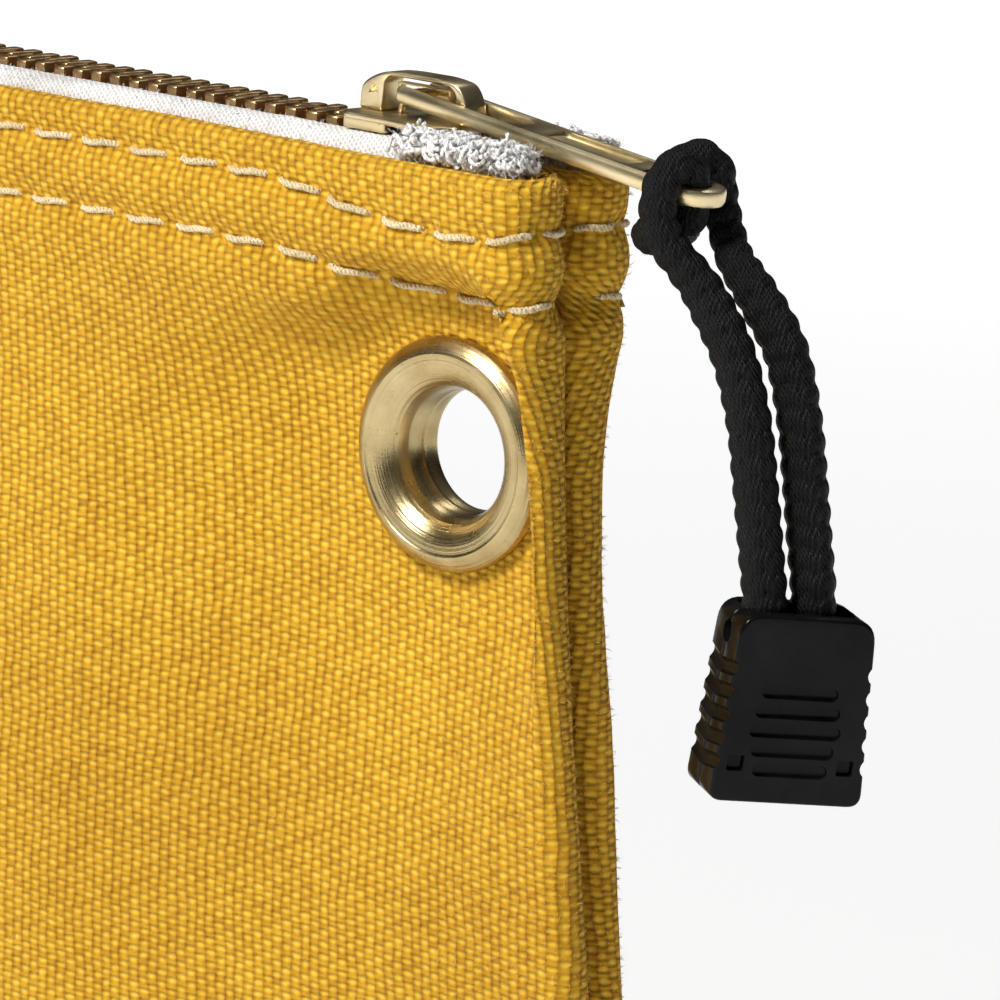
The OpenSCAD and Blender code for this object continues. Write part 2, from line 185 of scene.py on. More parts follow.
def curve_through(points, step):
    """A Catmull-Rom curve through the points, resampled every step millimetres."""
    p = np.asarray(points, float)
    p = np.concatenate([[2 * p[0] - p[1]], p, [2 * p[-1] - p[-2]]])
    fine = []
    for a, b, c, d in zip(p, p[1:], p[2:], p[3:]):
        t = np.linspace(0, 1, 24, endpoint=False)[:, None]
        squared, cubed = 2 * a - 5 * b + 4 * c - d, 3 * b - a - 3 * c + d
        fine.append(0.5 * (2 * b + (c - a) * t + squared * t**2 + cubed * t**3))
    fine = np.concatenate(fine + [p[-2:-1]])
    far = travelled(fine)
    count = max(2, int(round(far[-1] / step)) + 1)
    at = np.linspace(0, far[-1], count)
    return np.stack([np.interp(at, far, fine[:, k]) for k in range(fine.shape[1])], 1)


def frames_along(path):
    """Unit heading and two side directions at each point of a path, without twist."""
    head = np.gradient(path, axis=0)
    head /= np.linalg.norm(head, axis=1)[:, None] + 1e-12
    side = np.cross(head[0], [0.3, 0.2, 1.0])
    side /= np.linalg.norm(side)
    sides = []
    for h in head:
        side = side - h * (side @ h)
        side /= np.linalg.norm(side)
        sides.append(side)
    sides = np.array(sides)
    return head, sides, np.cross(head, sides)


def tube(path, radius, sides):
    """Verts and faces of a tube; radius is a number, one per ring, or one per ring and side."""
    n = len(path)
    _, a, b = frames_along(path)
    turn = 2 * math.pi * np.arange(sides) / sides
    r = np.asarray(radius, float).reshape(n if np.ndim(radius) else 1, -1)
    r = np.broadcast_to(r, (n, sides))
    ring = a[:, None] * np.cos(turn)[None, :, None] + b[:, None] * np.sin(turn)[None, :, None]
    verts = (path[:, None] + ring * r[:, :, None]).reshape(-1, 3)
    faces = [tuple(f) for f in grid_faces(n, sides, close=True)]
    faces.append(tuple(range(sides))[::-1])
    faces.append(tuple((n - 1) * sides + k for k in range(sides)))
    return verts, faces


def arc(cx, cy, r, start, end, n):
    """Points round part of a circle, between two angles in degrees."""
    return [
        (cx + r * math.cos(math.radians(t)), cy + r * math.sin(math.radians(t)))
        for t in np.linspace(start, end, n)
    ]


def rounded(points, radius, n):
    """A polygon's outline with its corners rounded; radius is a number or one per corner."""
    out = []
    count = len(points)
    for i, p in enumerate(points):
        p = np.array(p, float)
        a, b = np.array(points[i - 1], float) - p, np.array(points[(i + 1) % count], float) - p
        r = radius[i] if hasattr(radius, "__len__") else radius
        la, lb = np.linalg.norm(a), np.linalg.norm(b)
        reach = min(r, 0.45 * la, 0.45 * lb)
        start, end = p + a / la * reach, p + b / lb * reach
        for t in np.linspace(0, 1, n):
            out.append(tuple((1 - t) ** 2 * start + 2 * t * (1 - t) * p + t**2 * end))
    return out


def box_loop(x0, x1, y0, y1, radius, n):
    """A rectangle's outline with rounded corners."""
    return rounded([(x0, y0), (x1, y0), (x1, y1), (x0, y1)], radius, n)


def evaluated(obj):
    """The mesh that an object's curve or modifiers come to."""
    graph = bpy.context.evaluated_depsgraph_get()
    return bpy.data.meshes.new_from_object(obj.evaluated_get(graph))


def plate(loops, thick, bevel, steps=3):
    """Verts and faces of a flat plate, thick along z about 0, with bevelled edges.

    The first loop is the outline and the rest are holes.
    """
    curve = bpy.data.curves.new("outline", "CURVE")
    curve.dimensions, curve.fill_mode = "2D", "BOTH"
    curve.extrude = thick / 2 - bevel
    curve.bevel_depth, curve.bevel_resolution, curve.offset = bevel, steps - 1, -bevel
    for k, loop in enumerate(loops):
        ahead = list(loop[1:]) + [loop[0]]
        area = sum(a[0] * b[1] - a[1] * b[0] for a, b in zip(loop, ahead))
        if (area > 0) != (k == 0):
            loop = loop[::-1]
        spline = curve.splines.new("POLY")
        spline.points.add(len(loop) - 1)
        for point, (x, y) in zip(spline.points, loop):
            point.co = (x, y, 0, 1)
        spline.use_cyclic_u = True
    obj = linked("outline", curve)
    data = evaluated(obj)
    bm = bmesh.new()
    bm.from_mesh(data)
    bmesh.ops.remove_doubles(bm, verts=bm.verts, dist=0.002)
    bmesh.ops.recalc_face_normals(bm, faces=bm.faces)
    verts = np.array([v.co[:] for v in bm.verts])
    faces = [tuple(v.index for v in f.verts) for f in bm.faces]
    bm.free()
    bpy.data.objects.remove(obj)
    bpy.data.curves.remove(curve)
    bpy.data.meshes.remove(data)
    return verts, faces


def carve(shape, cutters):
    """shape, as verts and faces, with each cutter's space taken out."""

    def made(name, part):
        data = bpy.data.meshes.new(name)
        data.from_pydata(np.asarray(part[0], float).tolist(), [], part[1])
        data.update()
        return linked(name, data)

    body = made("carved", shape)
    tools = [made("cutter", c) for c in cutters]
    for tool in tools:
        step = body.modifiers.new("cut", "BOOLEAN")
        step.object, step.operation, step.solver = tool, "DIFFERENCE", "EXACT"
    data = evaluated(body)
    verts = np.array([v.co[:] for v in data.vertices])
    faces = [tuple(p.vertices) for p in data.polygons]
    for obj in [body] + tools:
        bpy.data.objects.remove(obj)
    return verts, faces


def upright(part):
    """Turns a plate drawn in x and y so that its y points up and its thickness runs along -Y."""
    verts, faces = part
    return np.stack([verts[:, 0], -verts[:, 2], verts[:, 1]], 1), faces


def moved(part, by):
    """A shape's verts and faces, shifted by a vector."""
    return np.asarray(part[0]) + np.asarray(by, float), part[1]


def turned(part, matrix):
    """A shape's verts and faces, turned about the origin."""
    return np.asarray(part[0]) @ np.array(matrix.to_3x3()).T, part[1]


def mirrored(part):
    """A shape reflected from the front half to the back half, or back."""
    verts = np.array(part[0])
    verts[:, 1] *= -1
    return verts, [tuple(f)[::-1] for f in part[1]]


# ---- Materials ----
class Nodes:
    """A material's node tree with a Principled shader."""

    def __init__(self, name, **values):
        self.material = bpy.data.materials.new(name)
        self.material.use_nodes = True
        self.tree = self.material.node_tree
        self.shader = self.tree.nodes["Principled BSDF"]
        for key, value in values.items():
            self.shader.inputs[key.replace("_", " ")].default_value = value

    def node(self, kind, inputs=None, **props):
        made = self.tree.nodes.new("ShaderNode" + kind)
        for key, value in props.items():
            setattr(made, key, value)
        for key, value in (inputs or {}).items():
            self.put(made.inputs[key], value)
        return made

    def put(self, socket, value):
        if isinstance(value, bpy.types.NodeSocket):
            self.tree.links.new(value, socket)
        else:
            socket.default_value = value

    def math(self, operation, a, b=0.0, c=0.0, clamp=False):
        made = self.node("Math", {0: a, 1: b, 2: c}, operation=operation, use_clamp=clamp)
        return made.outputs[0]

    def fit(self, value, gain, offset, clamp=False):
        return self.math("MULTIPLY_ADD", value, gain, offset, clamp)

    def times(self, a, b):
        return self.math("MULTIPLY", a, b)

    def noise(self, where, scale, detail=2.0, rough=0.5):
        values = {"Vector": where, "Scale": scale, "Detail": detail, "Roughness": rough}
        return self.node("TexNoise", values).outputs["Fac"]

    def ramp(self, value, stops):
        made = self.node("ValToRGB", {"Fac": value})
        ends = made.color_ramp.elements
        while len(ends) < len(stops):
            ends.new(0.5)
        for end, (at, colour) in zip(ends, stops):
            end.position, end.color = at, (*colour, 1)
        return made.outputs["Color"]

    def blend(self, amount, a, b, mode="MIX"):
        made = self.node("Mix", data_type="RGBA", blend_type=mode)
        self.put(made.inputs[0], amount)
        self.put(made.inputs[6], a)
        self.put(made.inputs[7], b)
        return made.outputs[2]

    def bump(self, height, distance, strength):
        values = {"Strength": strength, "Distance": distance, "Height": height}
        return self.node("Bump", values).outputs["Normal"]

    def done(self, colour, rough=None, normal=None):
        for key, value in (("Base Color", colour), ("Roughness", rough), ("Normal", normal)):
            if value is not None:
                self.put(self.shader.inputs[key], value)
        return self.material


# The canvas yarns' spacing in millimetres, up the cloth and across it.
WARP_PITCH, WEFT_PITCH = 1.05, 0.57


def canvas_material():
    """Plain-weave duck: fat yarns up the cloth and finer ones across it, rounded where they cross."""
    n = Nodes("canvas_weave", Specular_IOR_Level=0.15, Sheen_Weight=0.12, Sheen_Roughness=0.45)
    n.shader.inputs["Sheen Tint"].default_value = (1.0, 0.86, 0.5, 1)
    uv = n.node("UVMap", uv_map="cloth").outputs[0]
    place_at = n.node("TexCoord").outputs["Object"]
    split = n.node("SeparateXYZ", {0: uv})
    elsewhere = n.node("VectorMath", {0: uv, 1: (3.7, 9.1, 0)}).outputs[0]
    wander = n.noise(uv, 22.0, 2.0)
    wander_b = n.noise(elsewhere, 26.0, 2.0)
    u = n.times(split.outputs[0], 100.0)
    v = n.times(split.outputs[1], 100.0)
    p = n.fit(v, -0.1, u)
    p = n.fit(p, 1 / WARP_PITCH, n.times(wander, 0.9))
    q = n.fit(v, 1 / WEFT_PITCH, n.times(wander_b, 0.9))
    i, j = n.math("FLOOR", p), n.math("FLOOR", q)
    fp, fq = n.math("SUBTRACT", p, i), n.math("SUBTRACT", q, j)

    def hump(f):
        t = n.fit(f, 2.0, -1.0)
        return n.fit(n.times(t, t), -1.0, 1.0)

    def wave(a, b):
        turn = n.times(n.math("ADD", n.math("ADD", a, b), -0.5), math.pi)
        return n.math("COSINE", turn)

    warp = n.fit(wave(i, q), 0.62, n.times(hump(fp), 1.0))
    weft = n.fit(wave(j, p), -0.34, n.times(hump(fq), 0.42))
    height = n.math("SMOOTH_MAX", warp, weft, 0.75)
    stretch = n.math("FLOOR", n.times(q, 0.5))
    which = n.node("CombineXYZ", {0: i, 1: stretch, 2: 0.0}).outputs[0]
    yarn = n.node("TexWhiteNoise", {0: which}, noise_dimensions="3D").outputs[0]
    fibre = n.noise(place_at, 5200.0, 3.0, 0.7)
    soil_and_shade_blotch = n.noise(place_at, 24.0, 3.0, 0.55)
    speck = n.noise(place_at, 900.0, 2.0, 0.6)
    # The colour follows the yarns' height, so the weave's grooves carry painted shade; the speck and
    # per-yarn terms are the cloth's own tone.
    level = n.fit(height, 0.5, 0.02)
    level = n.math("ADD", level, n.fit(speck, 0.5, -0.25))
    level = n.math("ADD", level, n.fit(yarn, 0.16, -0.08), clamp=True)
    stops = [
        (0.02, (0.34, 0.145, 0.008)),
        (0.3, (0.57, 0.292, 0.015)),
        (0.6, (0.755, 0.44, 0.03)),
        (0.95, (0.875, 0.585, 0.072)),
    ]
    colour = n.ramp(level, stops)
    # Broad blotches darken the cloth: partly its own soiling and partly painted shade of soft folds.
    soil_and_painted_shade = n.blend(1.0, colour, (0.80, 0.74, 0.68, 1), "MULTIPLY")
    colour = n.blend(n.fit(soil_and_shade_blotch, 2.4, -0.85, clamp=True), colour, soil_and_painted_shade)
    tall = n.math("ADD", height, n.times(fibre, 0.35))
    tall = n.math("ADD", tall, n.times(yarn, 0.3))
    rough = n.fit(speck, 0.2, 0.78)
    return n.done(colour, rough, n.bump(tall, 0.00027, 1.0))


def cloth_material(name, dark, light, scale, fuzz, sheen=0.3, gloss=0.2, rough=0.8):
    """Small threads: scale gives their ribs' fineness, and fuzz that of the fibres."""
    n = Nodes(name, Specular_IOR_Level=gloss, Sheen_Weight=sheen, Sheen_Roughness=0.5)
    where = n.node("TexCoord").outputs["Object"]
    fine = n.noise(where, fuzz, 4.0, 0.7)
    broad = n.noise(where, fuzz / 14, 2.0, 0.5)
    wavy = {"Vector": where, "Distortion": 1.5, "Detail": 2.0, "Detail Scale": 3.0}
    wave_x = n.node("TexWave", {**wavy, "Scale": scale}, bands_direction="X")
    wave_y = n.node("TexWave", {**wavy, "Scale": scale * 1.3}, bands_direction="DIAGONAL")
    rib = n.math("MAXIMUM", wave_x.outputs["Fac"], wave_y.outputs["Fac"])
    level = n.fit(fine, 0.6, n.fit(broad, 0.5, -0.25))
    level = n.fit(rib, 0.35, level)
    colour = n.ramp(level, [(0.2, dark), (0.75, light)])
    tall = n.fit(fine, 0.8, rib)
    return n.done(colour, n.fit(fine, 0.15, rough), n.bump(tall, 0.00016, 0.8))


def metal_material(name, base, tint, rough, mottle, grime=(0.1, 0.06, 0.03), wear=0.35, rings=None):
    """Brass with mottled polish, fine scratches and a trace of grime.

    Turning marks run round the point that rings gives.
    """
    n = Nodes(name, Metallic=1.0)
    where = n.node("TexCoord").outputs["Object"]
    broad = n.noise(where, mottle, 4.0, 0.6)
    fine = n.noise(where, 6000.0, 3.0, 0.6)
    stretched = n.node("Mapping", {"Vector": where, "Scale": (700.0, 5200.0, 5200.0)}).outputs[0]
    scratch = n.noise(stretched, 1.0, 3.0, 0.6)
    polish = n.fit(broad, 1.6, -0.3, clamp=True)
    colour = n.blend(polish, (*base, 1), (*tint, 1))
    spots = n.noise(where, 1500.0, 4.0, 0.7)
    dirt = n.times(n.math("GREATER_THAN", spots, 0.68), wear)
    colour = n.blend(dirt, colour, (*grime, 1))
    tall = n.fit(scratch, 0.5, n.times(fine, 0.3))
    if rings is not None:
        centred = n.node("VectorMath", {0: where, 1: tuple(-c * MM for c in rings)}).outputs[0]
        parts = n.node("SeparateXYZ", {0: centred}).outputs
        squares = [n.times(parts[k], parts[k]) for k in (0, 2)]
        radius = n.math("SQRT", n.math("ADD", *squares))
        values = {"W": n.times(radius, 5200.0), "Scale": 1.0, "Detail": 3.0}
        mark = n.node("TexNoise", values, noise_dimensions="1D").outputs["Fac"]
        tall = n.math("ADD", tall, n.times(mark, 2.2))
    roughness = n.fit(broad, 0.22, rough - 0.1, clamp=True)
    return n.done(colour, roughness, n.bump(tall, 0.00003, 0.7))


def plastic_material():
    n = Nodes("moulded_black", Specular_IOR_Level=0.11)
    where = n.node("TexCoord").outputs["Object"]
    fine = n.noise(where, 900.0, 3.0, 0.6)
    cloud = n.noise(where, 180.0, 3.0, 0.6)
    stretched = n.node("Mapping", {"Vector": where, "Scale": (5000.0, 5000.0, 600.0)}).outputs[0]
    scuff = n.noise(stretched, 1.0, 2.0)
    colour = n.ramp(cloud, [(0.35, (0.003, 0.003, 0.003)), (0.7, (0.008, 0.008, 0.008))])
    rough = n.fit(cloud, 0.22, 0.08, clamp=True)
    tall = n.fit(scuff, 0.4, fine)
    return n.done(colour, rough, n.bump(tall, 0.00005, 0.35))


CANVAS = canvas_material()
FUZZ = cloth_material("canvas_fibres", (0.60, 0.33, 0.04), (0.86, 0.56, 0.14), 400, 3000, sheen=0.1)
TAPE = cloth_material("woven_tape", (0.50, 0.46, 0.42), (0.93, 0.92, 0.90), 700, 1600)
THREAD = cloth_material("sewing_thread", (0.50, 0.34, 0.13), (0.88, 0.74, 0.46), 900, 2600)
CORD = cloth_material(
    "braided_cord", (0.0015, 0.0014, 0.0014), (0.008, 0.0075, 0.0075), 900, 3000,
    sheen=0.0, gloss=0.16, rough=0.46,
)
TEETH = metal_material(
    "antique_tooth_brass", (0.42, 0.27, 0.125), (0.66, 0.42, 0.2), 0.36, 300.0,
    grime=(0.09, 0.05, 0.03), wear=0.6,
)
COPPER = metal_material("copper_stop", (0.62, 0.26, 0.14), (0.74, 0.42, 0.24), 0.3, 400.0)
SLIDER = metal_material(
    "satin_slider_brass", (0.66, 0.52, 0.27), (0.84, 0.72, 0.46), 0.3, 260.0,
    grime=(0.22, 0.15, 0.08), wear=0.5,
)
GROMMET = metal_material(
    "spun_grommet_brass", (0.34, 0.25, 0.10), (0.62, 0.50, 0.27), 0.27, 220.0,
    grime=(0.13, 0.09, 0.04), wear=0.6, rings=HOLE,
)
PLASTIC = plastic_material()

# ---- Cord ----
# The route repeats part.scad's points: up one strand, round the tab, and down the other strand.
FRONT_STRAND = [(173.1, -1.9, 142.2), (173.1, -2.1, 145.4), (172.4, -2.2, 149.5), (171.3, -2.2, 155.1),
                (170.1, -2.2, 160.4), (167.9, -2.2, 165.8), (164.4, -2.2, 170.4)]
BACK_STRAND = [(175.6, 1.6, 142.2), (175.3, 1.8, 146), (174.4, 2, 150), (173.4, 2.1, 155),
               (172.2, 2.2, 160.4), (170.2, 2.2, 166), (166.6, 2.2, 170.4)]
FRONT_HITCH = [(162.6, -2.9, 172.6), (161.2, -3.9, 174.6), (160.4, -4.2, 177.3), (160.5, -3.6, 179.8),
               (160.8, -1.9, 180.8), (161.1, -0.6, 179.8), (161.1, -0.3, 177.2), (160.6, -0.9, 175.6),
               (159.2, -2.4, 174.6), (157.6, -1.6, 174.3), (157.2, 0, 174.3)]
BACK_HITCH = [(157.6, 1.6, 174.3), (158.3, 2.2, 174.7), (158.5, 1.1, 175.9), (158.4, 0.5, 178.2),
              (158.6, 0.9, 180.2), (159.3, 2.6, 181), (160.1, 4.1, 179.8), (160.6, 4.3, 177.3),
              (161.8, 3.9, 174.8), (163.8, 2.9, 172.6)]
CORD_D = 4.0
HITCH_D = 3.3
CORD_STEP, CORD_SIDES = 0.22, 64
# The braid has this many carriers each way, and each advances one place in BRAID_LAY along the cord.
CARRIERS, BRAID_LAY, BRAID_RELIEF = 6, 2.0, 0.2


def braid_relief(far):
    """How far the braid stands out, by the distance along the cord and round its sides."""
    turn = 2 * math.pi * np.arange(CORD_SIDES) / CORD_SIDES
    a = turn[None] * CARRIERS / (2 * math.pi) + far[:, None] / BRAID_LAY
    b = turn[None] * CARRIERS / (2 * math.pi) - far[:, None] / BRAID_LAY
    over = np.cos(math.pi * (np.floor(a) + b)) * 0.5
    under = -np.cos(math.pi * (np.floor(b) + a)) * 0.5
    hump_a = 1 - (2 * (a - np.floor(a)) - 1) ** 2
    hump_b = 1 - (2 * (b - np.floor(b)) - 1) ** 2
    return np.maximum(over + hump_a, under + hump_b) * BRAID_RELIEF


def make_cord():
    path = curve_through(FRONT_STRAND + FRONT_HITCH + BACK_HITCH + BACK_STRAND[::-1], CORD_STEP)
    far = travelled(path)
    first = travelled(curve_through(FRONT_STRAND, CORD_STEP))[-1]
    last = far[-1] - first
    hitch = rise(first - 3, first + 6, far) * (1 - rise(last - 6, last + 3, far))
    radius = mix(CORD_D, HITCH_D, hitch) / 2 - 0.1
    shape = tube(path, radius[:, None] + braid_relief(far) - 0.16, CORD_SIDES)
    cord = piece("pull_cord", shape, None, ["cord_hitch", "cord_strands"], CORD)
    return cord, path, float(far[-1])


cord, CORD_PATH, CORD_LENGTH = make_cord()

# ---- Canvas panels ----
# The bag's depth at the side seams, their tops, the mouth, the middle and the base.
SEAM_DEPTH, SEAM_TOP_DEPTH, MOUTH_DEPTH, BODY_DEPTH, BASE_DEPTH = 9.6, 17.6, 18.0, 30.0, 24.0
HEM_H, HEM_T, FOOT_R = 12.4, 2.6, 3.2
# Half the clamped panels' thickness at the grommet, and how far the clamp sits towards the front.
CLAMP_Y, CLAMP_SHIFT = 1.225, 1.0
GROM_X, GROM_Z = HOLE[0] - MID, HOLE[2]
FLANGE_R, CLOTH_HOLE_R = 10.7, 7.6
# The stitch rows' distances below the top, the stitches' pitch, and the rows' dip towards the right.
ROW_DOWN, STITCH, DIP = (3.4, 9.75), 6.2, 2.3


def side_x(z):
    """How far the side's outer edge is from the middle at height z."""
    return HALF - DRAW * rise(LEAN_FROM, LEAN_TO, z)


def mid_half(z):
    """Half the bag's depth in the middle at height z."""
    low = mix(BASE_DEPTH, BODY_DEPTH, rise(0, HIGH * 0.4, z))
    top = mix(BODY_DEPTH, MOUTH_DEPTH, rise(HIGH * 0.45, HIGH - HEM_H, z))
    return np.where(np.asarray(z) < HIGH / 2, low, top) / 2


def side_half(z):
    """Half the bag's depth beside the side seams at height z."""
    return mix(SEAM_DEPTH, SEAM_TOP_DEPTH, rise(HIGH - 30, HIGH - 4, z)) / 2


def pinch(x, z):
    """How firmly the grommet holds the panels together: 1 under its flange, less further off."""
    dx, dz = x - GROM_X, z - GROM_Z
    r = np.hypot(dx, dz) + 1e-6
    away = np.maximum(0, (-0.6 * dx - 0.8 * dz) / r)
    return 1 - rise(FLANGE_R + 1.4, 20 + 30 * away, r)


def half_depth(x, z, side):
    u = side_x(z) - np.abs(x)
    loose = mix(side_half(z), mid_half(z), rise(12, 80, u))
    return mix(loose, CLAMP_Y + side * CLAMP_SHIFT, pinch(x, z))


def lobe_r(z):
    """The radius of a panel's rolled side edge."""
    return (side_half(z) - 0.3) / 2


def lobe_wide(z):
    """The rolled edge's half width, which is less beside the grommet."""
    return mix(lobe_r(z), 1.3, pinch(MOUTH_HALF - 1.5, z))


LOBE_STEPS = 18
FACE_STEPS = 330


def outline(z, side):
    """A panel's line across the bag at height z, from the right seam to the left one."""
    r, sx, sh, w = float(lobe_r(z)), float(side_x(z)), float(side_half(z)), float(lobe_wide(z))
    t = np.radians(np.linspace(100, -90, LOBE_STEPS))
    lobe = np.stack([sx - w + w * np.cos(t), -(sh - r) + r * np.sin(t)], 1)
    tuck = np.array([[sx - w - d, -0.22] for d in (4.0, 2.6, 1.3)])
    x = np.linspace(sx - w, -(sx - w), FACE_STEPS + 2)[1:-1]
    face = np.stack([x, -half_depth(x, z, side)], 1)
    right = np.concatenate([tuck, lobe])
    return np.concatenate([right, face, (right * [-1, 1])[::-1]])


COLUMNS = len(outline(100.0, 1))


def inset(path, by):
    """A panel's line, moved towards the bag's inside."""
    along = np.gradient(path, axis=0)
    along /= np.linalg.norm(along, axis=1)[:, None] + 1e-9
    return path + by * np.stack([along[:, 1], -along[:, 0]], 1)


def row_dip(x):
    """How far the stitch rows sag at x, where the grommet pulls the hem down."""
    back_up = 1 - 0.5 * rise(MOUTH_HALF - 6, MOUTH_HALF + 2, x)
    return DIP * rise(MOUTH_HALF - 32, MOUTH_HALF - 11, x) * back_up


def panel_rows():
    """Each row's height, inset and how far it lies between the bottom seam and the wall's foot."""
    foot, top = FOOT_R, HEM_T / 2
    rows = [(0.0, foot, s) for s in np.linspace(0, 0.94, 13)]
    for t in np.radians(np.linspace(0, 78, 6)):
        rows.append((foot * (1 - math.cos(t)), foot * (1 - math.sin(t)), 1.0))
    for z in np.linspace(foot, HIGH - top, 194):
        rows.append((z, 0.0, 1.0))
    for t in np.radians(np.linspace(15, 180, 11)):
        rows.append((HIGH - top + top * math.sin(t), top * (1 - math.cos(t)), 1.0))
    for z in np.linspace(HIGH - top - 1, HIGH - HEM_H, 12):
        rows.append((z, HEM_T, 1.0))
    return rows


def row_line(down, side):
    """A stitch row's points, right to left, with the cloth's outward direction at each."""
    x_at = outline(HIGH - down, side)[:, 0]
    z = HIGH - down - row_dip(x_at)
    pts, out = [], []
    for k in range(4, COLUMNS - 4):
        path = outline(z[k], side)
        a, b, c = path[k - 1], path[k], path[k + 1]
        along = (c - a) / (np.linalg.norm(c - a) + 1e-9)
        pts.append((b[0] + MID, b[1], z[k]))
        out.append((-along[1], along[0], 0.0))
    pts, out = np.array(pts), np.array(out)
    if side < 0:
        pts[:, 1] *= -1
        out[:, 1] *= -1
    return pts, out


def spaced_row(pts, out, start):
    """Where each stitch begins along the row, and a lookup of the point and direction there."""
    far = travelled(pts)

    def at(s):
        s = np.asarray(s, float)
        p = np.stack([np.interp(s, far, pts[:, k]) for k in range(3)], -1)
        o = np.stack([np.interp(s, far, out[:, k]) for k in range(3)], -1)
        return p, o / (np.linalg.norm(o, axis=-1, keepdims=True) + 1e-9)

    return np.arange(start, far[-1] - STITCH * 0.6, STITCH), at


ROWS = {}
for SIDE, WORD in ((1, "front"), (-1, "back")):
    for ROW, DOWN, START in zip(("upper", "lower"), ROW_DOWN, (2.2, 4.6)):
        ROWS[WORD, ROW] = spaced_row(*row_line(DOWN, SIDE), START)


def wrinkle(points, seed):
    """A few soft undulations in the cloth, in millimetres, from coherent noise."""
    out = np.zeros(len(points))
    for scale, size in ((34.0, 0.55), (11.0, 0.2), (3.2, 0.07)):
        q = points / scale + seed * 7.3
        out += size * np.array([noise.noise(Vector(p)) for p in q])
    return out


def panel_grid(rows, side):
    """The smooth panel's points, in rows from the bottom seam up the wall and over the hem."""
    grid = []
    for z, by, step in rows:
        path = inset(outline(max(z, FOOT_R), side), by)
        if step < 1:
            seam_x = np.linspace(0.975, -0.975, COLUMNS) * HALF
            path = mix(np.stack([seam_x, np.full(COLUMNS, -0.15)], 1), path, step)
        grid.append(np.column_stack([path[:, 0] + MID, path[:, 1], np.full(COLUMNS, z)]))
    grid = np.array(grid)
    if side < 0:
        grid[:, :, 1] *= -1
    return grid


def hem_relief(x, z):
    """The grooves along the stitch rows and the swells between and below them."""
    down = HIGH - z - row_dip(x)
    relief = 0.45 * np.exp(-(((down - sum(ROW_DOWN) / 2) / 2.0) ** 2))
    relief += 0.3 * np.exp(-(((down - 13.2) / 1.8) ** 2))
    for row in ROW_DOWN:
        relief -= 0.42 * np.exp(-(((down - row) / 0.85) ** 2))
    return relief


def stitch_dimples(patch, word):
    """How deep the cloth is drawn in at the given points, where the thread goes through it."""
    dimple = np.zeros(len(patch))
    for row in ("upper", "lower"):
        starts, at = ROWS[word, row]
        for centre in at(starts - 0.8)[0]:
            near = np.abs(patch[:, 0] - centre[0]) < 3.5
            gap = np.linalg.norm(patch[near] - centre, axis=1)
            dimple[near] += 0.62 * np.exp(-((gap / 1.15) ** 2))
    return dimple


def cloth_uv(grid):
    """Each point's place in the flat cloth, in decimetres, measured along its row and up the middle."""
    across = np.linalg.norm(np.diff(grid, axis=1), axis=2)
    upward = np.linalg.norm(np.diff(grid, axis=0), axis=2)[:, COLUMNS // 2]
    u = np.concatenate([np.zeros((len(grid), 1)), np.cumsum(across, 1)], 1) / 100
    u -= u[:, COLUMNS // 2][:, None]
    v = np.concatenate([[0], np.cumsum(upward)]) / 100
    return np.stack([u, np.broadcast_to(v[:, None], u.shape)], -1).reshape(-1, 2)


def make_panel(word, side, seed):
    rows = panel_rows()
    grid = panel_grid(rows, side)
    uv = cloth_uv(grid)
    normal = np.cross(np.gradient(grid, axis=0), np.gradient(grid, axis=1)) * side
    normal /= np.linalg.norm(normal, axis=2)[:, :, None] + 1e-9
    x, z = grid[:, :, 0] - MID, grid[:, :, 2]
    wall = np.array([by < 1e-6 and step == 1.0 for _, by, step in rows])[:, None]
    loose = rise(FLANGE_R - 1, FLANGE_R + 5, np.hypot(x - GROM_X, z - GROM_Z))
    push = wrinkle(grid.reshape(-1, 3), seed).reshape(grid.shape[:2])
    push *= loose * rise(0, 12, z) * (0.35 + 0.65 * (1 - rise(HIGH - 14, HIGH - 4, z)))
    # Columns near the seams stay put, so that the two panels keep meeting there.
    index = np.minimum(np.arange(COLUMNS), COLUMNS - 1 - np.arange(COLUMNS))
    push *= rise(4, 16, index)[None]
    push += hem_relief(x, z) * wall
    top_rows = np.flatnonzero(z[:, COLUMNS // 2] > HIGH - 18)
    dimple = stitch_dimples(grid[top_rows].reshape(-1, 3), word)
    push[top_rows] -= dimple.reshape(len(top_rows), COLUMNS) * wall[top_rows]
    grid = grid + normal * push[:, :, None]
    # The faces inside the grommet's flange are left out, so its bore is open.
    faces = grid_faces(len(rows), COLUMNS, flip=side < 0)
    centre = grid.reshape(-1, 3)[faces].mean(1)
    faces = faces[np.hypot(centre[:, 0] - HOLE[0], centre[:, 2] - HOLE[2]) > CLOTH_HOLE_R]
    shape = grid.reshape(-1, 3), faces.tolist()
    panel = piece(word + "_canvas", shape, "root", [word + "_panel"], CANVAS)
    layer = panel.data.uv_layers.new(name="cloth")
    loops = np.zeros(len(panel.data.loops), int)
    panel.data.loops.foreach_get("vertex_index", loops)
    layer.data.foreach_set("uv", uv[loops].ravel())
    return grid, normal


FRONT_GRID, FRONT_NORMAL = make_panel("front", 1, 1)
BACK_GRID, BACK_NORMAL = make_panel("back", -1, 2)


# ---- Loose fibres ----
HAIR_R = 0.035


